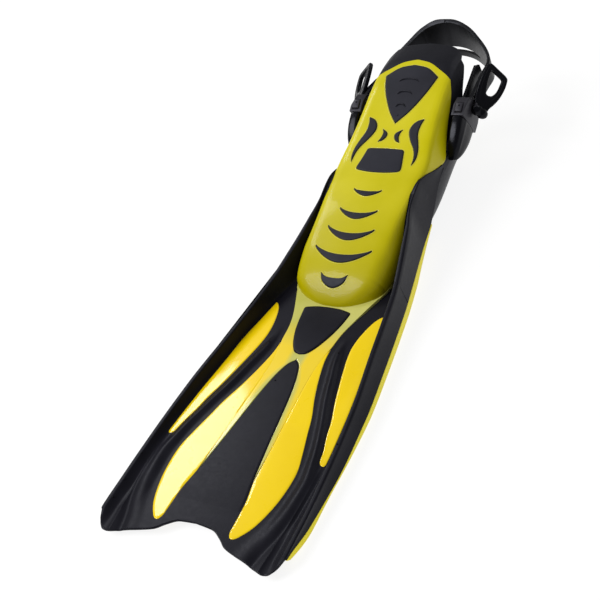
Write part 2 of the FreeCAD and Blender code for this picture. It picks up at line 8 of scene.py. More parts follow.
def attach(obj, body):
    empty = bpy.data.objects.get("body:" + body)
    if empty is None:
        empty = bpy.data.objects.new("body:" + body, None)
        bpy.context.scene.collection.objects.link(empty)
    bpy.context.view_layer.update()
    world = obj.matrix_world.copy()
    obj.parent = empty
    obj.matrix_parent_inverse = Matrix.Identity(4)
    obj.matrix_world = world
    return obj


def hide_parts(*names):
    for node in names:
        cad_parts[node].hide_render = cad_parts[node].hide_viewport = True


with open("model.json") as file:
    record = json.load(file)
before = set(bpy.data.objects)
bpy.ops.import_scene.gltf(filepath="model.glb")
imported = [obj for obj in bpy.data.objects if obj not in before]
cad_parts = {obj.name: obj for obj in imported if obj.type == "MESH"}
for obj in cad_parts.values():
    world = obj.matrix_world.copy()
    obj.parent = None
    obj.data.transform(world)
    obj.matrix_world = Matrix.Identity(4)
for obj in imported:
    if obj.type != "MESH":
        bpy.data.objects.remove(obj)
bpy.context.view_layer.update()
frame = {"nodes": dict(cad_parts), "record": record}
bpy.context.scene.view_settings.view_transform = 'Standard'
mm = 0.001
heelShift = -318.1  # y below is counted from the notch in the blade tip, in millimetres


def clearSelection():
    bpy.ops.object.select_all(action='DESELECT')


def mixed(a, b, t):
    return a + (b - a) * t


def smooth(t):
    t = min(max(t, 0.0), 1.0)
    return t * t * (3 - 2 * t)


def bell(t):
    return math.exp(-t * t)


def slopeAt(rows, i, col):
    i = min(max(i, 0), len(rows) - 1)
    if i == 0 or i == len(rows) - 1:
        j = min(i, len(rows) - 2)
        return (rows[j + 1][col] - rows[j][col]) / (rows[j + 1][0] - rows[j][0])
    a = (rows[i][col] - rows[i - 1][col]) / (rows[i][0] - rows[i - 1][0])
    b = (rows[i + 1][col] - rows[i][col]) / (rows[i + 1][0] - rows[i][0])
    return 0.0 if a * b <= 0 else 2 * a * b / (a + b)


def curveAt(rows, y, col=1):  # smooth value of a column at y, which is the first column
    if y <= rows[0][0]:
        return rows[0][col]
    if y >= rows[-1][0]:
        return rows[-1][col]
    k = 0
    while rows[k + 1][0] < y:
        k += 1
    h = rows[k + 1][0] - rows[k][0]
    t = (y - rows[k][0]) / h
    m0, m1 = slopeAt(rows, k, col) * h, slopeAt(rows, k + 1, col) * h
    t2, t3 = t * t, t * t * t
    return ((2 * t3 - 3 * t2 + 1) * rows[k][col] + (t3 - 2 * t2 + t) * m0
            + (-2 * t3 + 3 * t2) * rows[k + 1][col] + (t3 - t2) * m1)


def spot(x, y, z):
    return Vector((x * mm, (y + heelShift) * mm, z * mm))


def softLine(points, steps=10):  # a smooth line through the points of one arc
    if len(points) == 2:
        return [tuple(mixed(a, b, k / steps) for a, b in zip(*points)) for k in range(steps + 1)]
    ends = [tuple(2 * a - b for a, b in zip(points[0], points[1]))]
    ends += list(points) + [tuple(2 * a - b for a, b in zip(points[-1], points[-2]))]
    line = []
    for k in range(1, len(ends) - 2):
        p0, p1, p2, p3 = ends[k - 1:k + 3]
        d0, d1, d2 = [max(math.dist(a, b), 1e-6) ** 0.5 for a, b in ((p0, p1), (p1, p2), (p2, p3))]
        for n in range(steps):
            t = n / steps
            point = []
            for a, b, c, d in zip(p0, p1, p2, p3):
                m1 = (c - b) + d1 * ((b - a) / d0 - (c - a) / (d0 + d1))
                m2 = (c - b) + d1 * ((d - c) / d2 - (d - b) / (d1 + d2))
                point.append((2 * t ** 3 - 3 * t * t + 1) * b + (t ** 3 - 2 * t * t + t) * m1
                             + (3 * t * t - 2 * t ** 3) * c + (t ** 3 - t * t) * m2)
            line.append(tuple(point))
    return line + [tuple(points[-1])]


def chain(*arcs):  # arcs end to end, with corners where they meet
    line = softLine(arcs[0])
    for arc in arcs[1:]:
        line += softLine(arc)[1:]
    return line


def paced(line, count):  # evenly spaced points along a line
    far = [0.0]
    for a, b in zip(line, line[1:]):
        far.append(far[-1] + math.dist(a, b))
    out, k = [], 0
    for n in range(count + 1):
        want = far[-1] * n / count
        while k < len(line) - 2 and far[k + 1] < want:
            k += 1
        t = (want - far[k]) / max(far[k + 1] - far[k], 1e-9)
        out.append(tuple(mixed(a, b, min(max(t, 0), 1)) for a, b in zip(line[k], line[k + 1])))
    return out


def mirroredLine(line):
    return [(-point[0],) + tuple(point[1:]) for point in line]


def fromLine(x, y, line):  # distance to a line
    best = 1e9
    ax, ay = line[0]
    for bx, by in line[1:]:
        dx, dy = bx - ax, by - ay
        size = dx * dx + dy * dy
        t = min(max(((x - ax) * dx + (y - ay) * dy) / size, 0), 1) if size > 1e-12 else 0
        best = min(best, (x - ax - t * dx) ** 2 + (y - ay - t * dy) ** 2)
        ax, ay = bx, by
    return math.sqrt(best)


def fromRim(x, y, outline):
    return fromLine(x, y, outline + outline[:1])


def gridSheet(name, across, along, place):  # a grid whose vertices a function places
    clearSelection()
    bpy.ops.mesh.primitive_grid_add(x_subdivisions=across, y_subdivisions=along, size=2.0)
    piece = bpy.context.object
    piece.name = piece.data.name = name
    for vertex in piece.data.vertices:
        vertex.co = place((vertex.co.x + 1) / 2, (vertex.co.y + 1) / 2)
    return piece


def sewn(piece, gap=0.00002, fill=False):  # doubles merged, holes closed if wanted, faces outward
    clearSelection()
    piece.select_set(True)
    bpy.context.view_layer.objects.active = piece
    bpy.ops.object.mode_set(mode='EDIT')
    bpy.ops.mesh.select_all(action='SELECT')
    bpy.ops.mesh.remove_doubles(threshold=gap)
    bpy.ops.mesh.dissolve_degenerate(threshold=gap / 4)
    if fill:
        bpy.ops.mesh.select_all(action='DESELECT')
        bpy.ops.mesh.select_non_manifold(extend=False, use_wire=False, use_multi_face=False,
                                         use_non_contiguous=False, use_verts=False)
        bpy.ops.mesh.fill_holes(sides=0)
    bpy.ops.mesh.select_all(action='SELECT')
    bpy.ops.mesh.normals_make_consistent(inside=False)
    bpy.ops.object.mode_set(mode='OBJECT')
    return piece


def worked(piece, kind, **settings):
    clearSelection()
    piece.select_set(True)
    bpy.context.view_layer.objects.active = piece
    change = piece.modifiers.new(kind.lower(), kind)
    for key, value in settings.items():
        setattr(change, key, value)
    bpy.ops.object.modifier_apply(modifier=change.name)
    return piece


def rounded(name, width, segments=2):  # the primitive just added: put in place in its mesh, edges rounded
    piece = bpy.context.object
    piece.name = piece.data.name = name
    bpy.ops.object.transform_apply(location=True, rotation=True)
    bpy.ops.object.mode_set(mode='EDIT')
    bpy.ops.mesh.select_all(action='SELECT')
    bpy.ops.mesh.bevel(offset=width * mm, segments=segments)
    bpy.ops.object.mode_set(mode='OBJECT')
    return piece


def fitted(piece, body, slot, finish, *nodes, angle=35):  # finish, body and the nodes it stands for; the slot argument is not used
    clearSelection()
    piece.select_set(True)
    bpy.context.view_layer.objects.active = piece
    bpy.ops.object.shade_smooth_by_angle(angle=math.radians(angle))
    piece.data.materials.clear()
    piece.data.materials.append(finishes[finish])
    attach(piece, body)
    if nodes:
        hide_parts(*nodes)
    return piece


def slab(name, lineA, lineB, rows, cols, top, low, edge):
    # closed piece between two lines that share their ends, its rim rounded over 'edge'
    a, b = paced(lineA, rows), paced(lineB, rows)
    outline = a + b[-2:0:-1]

    def place(u, w):
        k = round(w * rows)
        under = u > 0.5
        v = 2 - 2 * u if under else 2 * u
        wide = math.dist(a[k], b[k])
        rim = min(edge / wide, 0.4) if wide > 1e-6 else 0.4
        if v < 0.25:
            v = v * 4 * rim
        elif v > 0.75:
            v = 1 - (1 - v) * 4 * rim
        else:
            v = rim + (v - 0.25) * 2 * (1 - 2 * rim)
        x, y = mixed(a[k][0], b[k][0], v), mixed(a[k][1], b[k][1], v)
        near = 1 - min(fromRim(x, y, outline) / edge, 1)
        lift = math.sqrt(1 - near * near)
        high, base = top(x, y), low(x, y)
        middle = mixed(base, high, 0.35)
        return spot(x, y, mixed(middle, base if under else high, lift))
    return sewn(gridSheet(name, cols * 2, rows, place))


class Value:  # a socket that takes part in sums
    def __init__(self, finish, out):
        self.finish = finish
        self.out = out

    def maths(self, operation, *others):
        return self.finish.node('ShaderNodeMath', {'operation': operation}, dict(enumerate((self,) + others)))

    def __add__(self, other):
        return self.maths('ADD', other)

    def __sub__(self, other):
        return self.maths('SUBTRACT', other)

    def __rsub__(self, other):
        return self.finish.node('ShaderNodeMath', {'operation': 'SUBTRACT'}, {0: other, 1: self})

    def __mul__(self, other):
        return self.maths('MULTIPLY', other)


class Finish:
    def __init__(self, name, **constant):
        self.material = bpy.data.materials.new(name)
        self.material.use_nodes = True
        self.tree = self.material.node_tree
        self.shader = self.tree.nodes['Principled BSDF']
        for socket, value in constant.items():
            self.shader.inputs[socket.replace('_', ' ')].default_value = value
        self.place = self.node('ShaderNodeTexCoord', {}, {}, 'Object')

    def node(self, kind, settings, sockets, output=0):
        made = self.tree.nodes.new(kind)
        for key, value in settings.items():
            setattr(made, key, value)
        for key, value in sockets.items():
            if isinstance(value, Value):
                self.tree.links.new(value.out, made.inputs[key])
            else:
                made.inputs[key].default_value = value
        return Value(self, made.outputs[output])

    def feed(self, socket, value):
        self.tree.links.new(value.out, self.shader.inputs[socket])

    def noise(self, scale, detail=3.0, rough=0.5, stretch=None):
        where = self.place
        if stretch:
            where = self.node('ShaderNodeMapping', {}, {'Vector': where, 'Scale': stretch})
        return self.node('ShaderNodeTexNoise', {}, {'Vector': where, 'Scale': scale, 'Detail': detail,
                                                    'Roughness': rough})

    def between(self, value, low, high, outLow=0.0, outHigh=1.0):
        return self.node('ShaderNodeMapRange', {'clamp': True},
                         {'Value': value, 'From Min': low, 'From Max': high,
                          'To Min': outLow, 'To Max': outHigh})

    def blend(self, factor, a, b):
        return self.node('ShaderNodeMix', {'data_type': 'RGBA'}, {0: factor, 6: a, 7: b}, 2)

    def bump(self, height, strength, distance):
        self.feed('Normal', self.node('ShaderNodeBump', {}, {'Height': height, 'Strength': strength,
                                                             'Distance': distance}))


def colour(r, g, b):
    return (r, g, b, 1.0)


def satinBlack(name, tone, sheen, rough, specular=0.3, grain=900.0):
    f = Finish(name, Specular_IOR_Level=specular, IOR=1.47)
    f.shader.inputs['Specular Tint'].default_value = (0.86, 0.88, 1.0, 1.0)
    cloud = f.noise(34.0, 4.0)
    dust = f.noise(260.0, 2.0)
    f.feed('Base Color', f.blend(f.between(cloud, 0.35, 0.68), colour(*tone), colour(*sheen)))
    f.feed('Roughness', f.between(dust + cloud * 0.3, 0.45, 0.85, rough - 0.03, rough + 0.03))
    f.bump(f.noise(grain, 2.0) + f.noise(grain * 0.3, 2.0) * 0.4, 0.06, 0.00006)
    return f.material


def glossYellow(name, deep, bright, rough, coat, change=''):
    f = Finish(name, Specular_IOR_Level=0.12, IOR=1.5, Coat_Roughness=0.08, Coat_Weight=coat)
    cloud = f.noise(16.0, 3.0)
    tone = f.blend(f.between(cloud, 0.36, 0.66), colour(*deep), colour(*bright))
    if change == 'toe':  # painted shade: the yellow is darkened towards the bottom of the pocket and toe
        level = f.node('ShaderNodeSeparateXYZ', {}, {0: f.place}, 'Z')
        # painted shade mask: 1 low down, fading to 0 higher up
        low = f.between(level + (cloud - 0.5) * 0.012, 0.03, 0.085, 1.0, 0.0)
        tone = f.blend(low, tone, colour(deep[0] * 0.74, deep[1] * 0.72, 0.0))
    if change == 'legs':  # the clear legs of the yoke take the colour of the leaves beside them
        across = f.node('ShaderNodeSeparateXYZ', {}, {0: f.place}, 'X').maths('ABSOLUTE') * 1000
        along = f.node('ShaderNodeSeparateXYZ', {}, {0: f.place}, 'Y') * 1000 - heelShift
        past = (along - 170).maths('MAXIMUM', 0)
        rim = (33 - (along - 60) * 0.145 - past * past * 0.006).maths('MAXIMUM', 5)
        beside = f.between(across - rim + (cloud - 0.5) * 4, 1.5, 7.0)
        warm = beside * f.between(along + cloud * 20, 236, 276, 1.0, 0.0)
        tone = f.blend(warm, tone, colour(0.88, 0.64, 0.03))
    f.feed('Base Color', tone)
    f.feed('Roughness', f.between(f.noise(70.0, 3.0), 0.35, 0.7, rough - 0.03, rough + 0.05))
    f.bump(f.noise(1400.0, 2.0), 0.05, 0.0001)
    return f.material


def brushedSteel(name):
    f = Finish(name, Metallic=1.0)
    grain = f.noise(220.0, 3.0, 0.5, (1.0, 14.0, 14.0))
    f.feed('Base Color', f.blend(grain, colour(0.36, 0.37, 0.38), colour(0.52, 0.53, 0.54)))
    f.feed('Roughness', f.between(grain, 0.3, 0.7, 0.24, 0.4))
    return f.material


finishes = {
    'blade': satinBlack('bladeBlackPlastic', (0.0055, 0.0053, 0.0085), (0.0085, 0.0082, 0.0125), 0.4, 0.15),
    'pad': satinBlack('padBlackRubber', (0.0125, 0.0125, 0.018), (0.0175, 0.0175, 0.0245), 0.5, 0.2, 1500.0),
    'pocketBlack': satinBlack('pocketBlackRubber', (0.0075, 0.0075, 0.0105), (0.0105, 0.0105, 0.0145),
                              0.46, 0.2, 1200.0),
    'buckle': satinBlack('buckleBlackPlastic', (0.0022, 0.0022, 0.0034), (0.0036, 0.0036, 0.0052), 0.24,
                         0.15, 1100.0),
    # painted light: a lighter grey copy of the black buckle plastic, for parts whose top faces catch the
    # light
    'buckleGrey': satinBlack('clipGreyPlastic', (0.018, 0.017, 0.021), (0.026, 0.024, 0.03), 0.38, 0.3),
    'strap': satinBlack('strapBlackRubber', (0.003, 0.003, 0.0036), (0.0045, 0.0045, 0.0054), 0.36, 0.24,
                        1300.0),
    'mark': satinBlack('markBlackPlastic', (0.002, 0.002, 0.003), (0.003, 0.003, 0.004), 0.5, 0.1),
    'leaf': glossYellow('leafYellowPlastic', (0.9, 0.63, 0.0), (0.94, 0.67, 0.0), 0.3, 0.6),
    'strip': glossYellow('stripYellowPlastic', (0.9, 0.76, 0.01), (0.95, 0.82, 0.03), 0.42, 0.1),
    # the 'toe' change paints shade on the lower parts of the pocket yellow
    'pocketYellow': glossYellow('pocketYellowRubber', (0.56, 0.5, 0.0), (0.63, 0.56, 0.012), 0.34,
                                0.12, 'toe'),
    'yoke': glossYellow('yokeYellowRubber', (0.5, 0.49, 0.085), (0.58, 0.56, 0.15), 0.22, 0.5, 'legs'),
    # the lip yellow is lighter and paler than the pocket yellow: painted highlight on real raised lips
    'lip': glossYellow('lipYellowRubber', (0.66, 0.61, 0.07), (0.72, 0.66, 0.1), 0.3, 0.3),
    'steel': brushedSteel('pinSteel'),
}

slotFinish = {'blade_black': 'blade', 'inlay_yellow': 'leaf', 'pocket_yellow': 'pocketYellow',
              'pocket_black': 'pocketBlack', 'pad_black': 'pad', 'buckle_black': 'buckle',
              'strap_rubber': 'strap', 'pin_steel': 'steel'}
nodeSlots = {row['node']: row['material_slot'] for row in frame['record']['subparts']}
for name, node in frame['nodes'].items():
    node.data.materials.clear()
    node.data.materials.append(finishes[slotFinish[nodeSlots[name]]])
print('finishes made')

# room
room = {'floorSize': 60.0, 'floorDrop': 0.0006, 'lens': 75.0,
        'eye': (0.6981, -0.7716, 0.8610), 'right': (0.82821634, 0.46277936, -0.31605969),
        'up': (-0.11405315, 0.69136958, 0.71344223)}
clearSelection()
bpy.ops.mesh.primitive_plane_add(size=room['floorSize'], location=(0, 0, -room['floorDrop']))
floor = bpy.context.object
floor.name = 'floor'
bpy.ops.object.transform_apply(location=True)
floorFinish = Finish('paperFloor', Roughness=0.9, Specular_IOR_Level=0.1, Emission_Strength=0.88)
floorFinish.shader.inputs['Emission Color'].default_value = (1.0, 1.0, 1.0, 1.0)
floorFinish.feed('Base Color', floorFinish.blend(floorFinish.between(floorFinish.noise(3.0), 0.3, 0.7),
                                                 colour(0.15, 0.15, 0.15), colour(0.17, 0.17, 0.17)))
floor.data.materials.append(floorFinish.material)

bpy.ops.object.camera_add(location=room['eye'])
eye = bpy.context.object
right, up = Vector(room['right']).normalized(), Vector(room['up']).normalized()
out = right.cross(up)
eye.matrix_world = Matrix((
    (right.x, up.x, out.x, room['eye'][0]),
    (right.y, up.y, out.y, room['eye'][1]),
    (right.z, up.z, out.z, room['eye'][2]),
    (0, 0, 0, 1)))
eye.data.lens = room['lens']
eye.data.sensor_width = 36.0
eye.data.clip_end = 60.0
bpy.context.scene.camera = eye

lamps = [('keySoft', (-1.5, -1.2, 2.1), 1.4, 62.0), ('glareSoft', (-1.5, 0.61, 1.45), 0.5, 9.0),
         ('backSoft', (0.9, 1.9, 1.5), 1.0, 7.0)]
for name, place, size, power in lamps:
    bpy.ops.object.light_add(type='AREA', location=place)
    lamp = bpy.context.object
    lamp.name = name
    lamp.data.size = size
    lamp.data.energy = power
    lamp.rotation_euler = (Vector((0, 0, 0.05)) - Vector(place)).to_track_quat('-Z', 'Y').to_euler()
world = bpy.data.worlds.new('studio') if not bpy.data.worlds else bpy.data.worlds[0]
bpy.context.scene.world = world
world.use_nodes = True
world.node_tree.nodes['Background'].inputs[0].default_value = (1.0, 1.0, 1.0, 1.0)
world.node_tree.nodes['Background'].inputs[1].default_value = 0.3
print('room ready')


# foot pocket
pocket = {'wall': 3.4, 'proud': 0.7, 'crease': 0.022, 'noseFrom': 319.0, 'noseEnd': 290.8, 'noseRound': 2.3,
          'noseZ': 17.5, 'arcFrom': 440.0, 'arcLong': 122.0, 'arcDeep': 20.8,
          # y, sole half-width, sole z, low corner x z, side x z, flank x z, crease x z, top z
          'rows': [(291, 24, 12.5, 34, 13, 43, 17, 40, 22.5, 31, 27.5, 29),
                   (297, 26, 10, 37, 12, 46, 18, 43, 25.5, 33, 31, 32.6),
                   (306, 28, 7, 40.5, 11, 50, 19.5, 47, 29.5, 36, 35.8, 37.6),
                   (318, 31, 4, 45, 9.5, 54.5, 21, 51, 34, 39.5, 41.6, 43.9),
                   (334, 33.5, 1.2, 48, 9, 57.5, 24, 54.2, 38.8, 42.8, 48.4, 50.6),
                   (352, 34, 0, 48.5, 9.5, 58.2, 28, 55.5, 44.5, 46.2, 54.2, 56.2),
                   (385, 34, 0, 49, 10, 58, 33, 56, 50, 49, 64, 66),
                   (424, 34, 0, 49, 11, 58, 40, 57, 58, 53, 72.5, 74),
                   (455, 33, 0, 48, 12, 58, 45, 57.5, 62, 55, 78.5, 80),
                   (486, 30, 0, 46, 15, 57.8, 50, 56, 70, 51, 90, 90.5),
                   (520, 28, 2.5, 44, 21, 57.5, 54, 55.5, 80, 47.8, 103.5, 103),
                   (555, 26, 4.5, 42, 24, 56.5, 58, 54.6, 90, 47.3, 115.2, 116.5),
                   (590, 25, 5.5, 41, 26, 56, 62, 54.6, 97, 49.4, 121, 126.5),
                   (625, 25, 6, 41, 27, 55.5, 64, 54, 98, 49.4, 120, 125)],
          # side edge of the yellow: y and z, and its top edge: x and y
          'yellowSide': [(291, 12.5), (306, 11), (327, 10), (339, 18), (356, 34), (386, 55), (406, 66),
                         (422, 72.6), (434, 75.2), (446, 73), (457, 68.8), (468, 64.4), (480, 60.4),
                         (491, 60), (499, 68), (518, 84), (545, 101), (562.5, 116)],
          'yellowTop': [(0, 583.3), (14, 580.5), (32, 571), (46.7, 562.5)],
          'cuffSide': [(541.5, 48), (547, 64), (566, 91.5), (594, 114)],
          'cuffTop': [(0, 617), (22, 615.8), (38, 611), (46.5, 604.5), (50.2, 596)]}


def throughThree(a, b, c, t):
    first, second = math.dist(a, b), math.dist(b, c)
    m = first / (first + second)
    wa, wb = (t - m) * (t - 1) / m, t * (t - 1) / (m * (m - 1))
    wc = t * (t - m) / (1 - m)
    return [wa * p + wb * q + wc * r for p, q, r in zip(a, b, c)]


def pocketRow(y):
    return [curveAt(pocket['rows'], y, col) for col in range(1, 12)]


def profileSpot(row, t):  # half profile: 0 under the sole, 0.45 side, 0.75 crease, 1 top
    hx, hz, cx, cz, sx, sz, fx, fz, kx, kz, top = row
    if t < 0.2:
        return (hx * t / 0.2, hz)
    if t < 0.45:
        return throughThree((hx, hz), (cx, cz), (sx, sz), (t - 0.2) / 0.25)
    if t < 0.75:
        return throughThree((sx, sz), (fx, fz), (kx, kz), (t - 0.45) / 0.3)
    q = min((1 - t) / 0.25, 1)
    return (kx * q, top - (top - kz) * q * q)


def pocketSkin(y, t, out=0.0, soft=None):
    row = pocketRow(max(y, pocket['rows'][0][0]))
    soft = pocket['crease'] if soft is None else soft
    near = [profileSpot(row, min(t + d, 1.0)) for d in (-2 * soft, -soft, 0, soft, 2 * soft)]
    weights = (1, 2, 3, 2, 1)
    x = sum(w * p[0] for w, p in zip(weights, near)) / 9
    z = sum(w * p[1] for w, p in zip(weights, near)) / 9
    if t > 0.999:
        x, z = 0.0, profileSpot(row, 1.0)[1]
    tx, tz = near[4][0] - near[0][0], near[4][1] - near[0][1]
    size = math.hypot(tx, tz) or 1
    if t > 0.97:
        nx, nz = tz / size * min((1 - t) / 0.03, 1), 1.0
    else:
        nx, nz = tz / size, -tx / size
    if y < pocket['noseFrom']:
        deep = (pocket['noseFrom'] - y) / (pocket['noseFrom'] - pocket['noseEnd'])
        share = max(1 - deep ** pocket['noseRound'], 0) ** (1 / pocket['noseRound'])
        x, z = x * share, mixed(pocket['noseZ'], z, share)
    return x + nx * out, z + nz * out


def levelOf(y, z):  # where the side of the profile reaches height z
    row = pocketRow(max(y, pocket['rows'][0][0]))
    low, high = 0.2, 0.75
    for _ in range(22):
        half = (low + high) / 2
        if profileSpot(row, half)[1] < z:
            low = half
        else:
            high = half
    return (low + high) / 2


def edgeLevels(side, top):  # an edge as y and level, from the top middle out to the side's end
    crown = [(y, 1 - 0.25 * x / pocketRow(y)[8]) for x, y in softLine(top, 8)]
    flank = [(y, levelOf(y, z)) for y, z in reversed(softLine(side, 8))]
    return [(y, min(max(t, 0.2), 1)) for y, t in crown[:-1] + flank]


def toePlace(u, w):
    y, level = yellowEdge[round(w * yellowAlong)]
    if y < pocket['noseFrom']:
        share = smooth((y - pocket['noseEnd']) / (pocket['noseFrom'] - pocket['noseEnd']))
        level = mixed(0.36, level, share)
    q = abs(2 * u - 1)
    t = 1 - (1 - level) * q
    across = min((1 - t) / 0.25, 1)
    back = curveAt([(0, 1.0), (0.3, 0.865), (0.685, 0.41), (1, 0.0)], across)
    y += pocket['arcDeep'] * smooth((y - pocket['arcFrom']) / pocket['arcLong']) * back
    x, z = pocketSkin(y, t, pocket['proud'])
    return spot(x if u > 0.5 else -x, y, z)


yellowAlong = 150
noseLong = pocket['noseFrom'] - pocket['noseEnd']
nose = [(pocket['noseEnd'] + noseLong * (1 - math.cos(k / 16 * math.pi / 2)), 0.4) for k in range(16)]
sideLine = paced(softLine(pocket['yellowSide'], 8), 400)
sideLine = [(y, levelOf(y, z)) for y, z in sideLine if y >= pocket['noseFrom']]
yellowEdge = nose + paced(sideLine, yellowAlong - len(nose))
upper = sewn(gridSheet('pocket_upper_shell', 92, yellowAlong, toePlace))
worked(upper, 'SOLIDIFY', thickness=(pocket['wall'] + pocket['proud']) * mm, offset=-1.0,
       use_even_offset=False)
worked(upper, 'BEVEL', width=0.5 * mm, segments=2, limit_method='ANGLE', angle_limit=math.radians(50))
fitted(upper, 'fin', 'pocket_yellow', 'pocketYellow', 'pocket_upper', angle=40)
print('pocket upper', len(upper.data.polygons))

upperSkin = BVHTree.FromObject(upper, bpy.context.evaluated_depsgraph_get())


def pocketTop(x, y):
    hit = upperSkin.ray_cast(spot(x, y, 300), Vector((0, 0, -1)))
    return hit[0].z / mm if hit[0] else 20.0


cuff = {'across': 120, 'along': 26, 'tuck': 2.0, 'round': 0.045}
cuffTop = [(x, y - cuff['tuck']) for x, y in pocket['yellowTop']]
cuffFront = paced(edgeLevels(pocket['yellowSide'][13:], cuffTop), 60)
cuffBack = paced(edgeLevels(pocket['cuffSide'], pocket['cuffTop']), 60)


def cuffPlace(u, w):
    k = round(abs(2 * u - 1) * 60)
    y = mixed(cuffFront[k][0], cuffBack[k][0], w)
    t = mixed(cuffFront[k][1], cuffBack[k][1], w)
    x, z = pocketSkin(y, t, 0.0, mixed(pocket['crease'], cuff['round'], smooth((y - 560) / 30)))
    return spot(x if u > 0.5 else -x, y, z)


collar = sewn(gridSheet('pocket_cuff_shell', cuff['across'], cuff['along'], cuffPlace))
worked(collar, 'SOLIDIFY', thickness=pocket['wall'] * mm, offset=-1.0, use_even_offset=False)
worked(collar, 'BEVEL', width=0.9 * mm, segments=3, limit_method='ANGLE', angle_limit=math.radians(50))
fitted(collar, 'fin', 'pocket_black', 'pocketBlack', 'pocket_cuff', angle=40)
print('cuff ready')

# pads on the instep and toes
pads = {'high': 1.25, 'deep': 1.0, 'edge': 1.0, 'lip': 0.32, 'lipGap': 0.75}


def padTop(x, y):
    return pocketTop(x, y) + pads['high']


def padLow(x, y):
    return pocketTop(x, y) - pads['deep']


def padLip(name, outline):  # the raised line round a pad, a real lip given a lighter yellow: painted highlight
    ring = paced(outline + [outline[0]], 140)[:-1]
    points = []
    for k, (x, y) in enumerate(ring):
        (ax, ay), (bx, by) = ring[k - 2], ring[(k + 2) % len(ring)]
        size = math.dist((ax, ay), (bx, by)) or 1
        points.append((x + (by - ay) / size * pads['lipGap'], y - (bx - ax) / size * pads['lipGap']))
    line = bpy.data.curves.new(name, 'CURVE')
    line.dimensions = '3D'
    run = line.splines.new('POLY')
    run.points.add(len(points) - 1)
    for point, (x, y) in zip(run.points, points):
        place = spot(x, y, pocketTop(x, y) - 0.02)
        point.co = (*place, 1.0)
    run.use_cyclic_u = True
    line.bevel_depth = pads['lip'] * mm
    line.bevel_resolution = 2
    lip = bpy.data.objects.new(name, line)
    bpy.context.collection.objects.link(lip)
    clearSelection()
    lip.select_set(True)
    bpy.context.view_layer.objects.active = lip
    bpy.ops.object.convert(target='MESH')
    return fitted(sewn(bpy.context.object), 'fin', 'pocket_yellow', 'lip')


def padBetween(name, lineA, lineB, node, rows, cols):
    pad = slab(name, lineA, lineB, rows, cols, padTop, padLow, pads['edge'])
    fitted(pad, 'fin', 'pad_black', 'pad', node)
    a, b = paced(lineA, 60), paced(lineB, 60)
    padLip(name + '_lip', a + b[-2:0:-1])
    return pad


def crescentLines(half, tip, bottom, thick):
    crown = bottom + thick
    blunt = min(half / 20, 1)
    lines = []
    for outX, outY, mid, level in ((0.8, -0.6, 0.55, bottom + (tip - bottom) * 0.28),
                                   (-1.3, -0.5, 0.5, crown + (tip - crown) * 0.22)):
        right = [(half * mid, level), (half + outX * blunt, tip + outY), (half, tip + 0.9)]
        lines.append(softLine(mirroredLine(right[::-1]) + [(0, bottom if mid > 0.5 else crown)] + right))
    return lines


# half-width, y of the tips, y of the middle, thickness
crescents = ((16.8, 417.5, 408.6, 6.6), (23.0, 391.2, 378.4, 7.8), (28.6, 368.2, 352.8, 8.6),
             (34.6, 344.4, 326.8, 9.2))
for index, sizes in enumerate(crescents):
    under, over = crescentLines(*sizes)
    padBetween('crescent_pad_' + str(index + 1), under, over, 'crescent_' + str(index + 1), 60, 12)
smileUnder = softLine([(-17, 316), (-13.5, 308), (0, 302.6), (13.5, 308), (17, 316)])
smileOver = softLine([(-17, 316), (-10.5, 312.4), (0, 311.4), (10.5, 312.4), (17, 316)])
padBetween('toe_smile_pad', smileUnder, smileOver, 'toe_smile', 48, 12)

flames = {'large': ([(38, 453.8), (37, 465), (33.5, 473.5), (28, 481), (23, 489), (21, 495.5),
                     (23, 502.5), (27.5, 507), (35.2, 509.6)],
                    [(38, 453.8), (40, 458), (41, 464), (40, 473), (37, 482), (33.2, 492), (33, 501),
                     (35.2, 509.6)]),
          'small': ([(13.7, 480.2), (8.5, 482), (4.8, 486.7), (5.4, 491.3), (13, 496.2)],
                    [(13.7, 480.2), (11, 486), (10.7, 491), (13, 496.2)])}
for size, (inner, outer) in flames.items():
    inner, outer = softLine(inner), softLine(outer)
    padBetween(size + '_flame_pad_R', outer, inner, size + '_flame_R', 50, 12)
    padBetween(size + '_flame_pad_L', mirroredLine(inner), mirroredLine(outer), size + '_flame_L', 50, 12)

plateLine = chain([(0, 441.5), (12, 442), (24.5, 443.8)], [(24.5, 443.8), (27.6, 445.6), (28, 449)],
                  [(28, 449), (23.8, 468)], [(23.8, 468), (22.9, 471), (20.5, 472.2)],
                  [(20.5, 472.2), (0, 472.6)])
padBetween('name_plate_pad', plateLine, mirroredLine(plateLine), 'name_plate', 70, 26)
shieldLine = chain([(0, 503), (11, 515.5), (20.5, 530), (28.5, 546), (33.5, 561.8)],
                   [(33.5, 561.8), (18, 572), (0, 575.5)])
instep = padBetween('instep_pad', shieldLine, mirroredLine(shieldLine), 'instep_shield', 84, 30)

padSkin = BVHTree.FromObject(instep, bpy.context.evaluated_depsgraph_get())


def onPad(x, y):
    hit = padSkin.ray_cast(spot(x, y, 300), Vector((0, 0, -1)))
    return hit[0].z / mm if hit[0] else pocketTop(x, y)


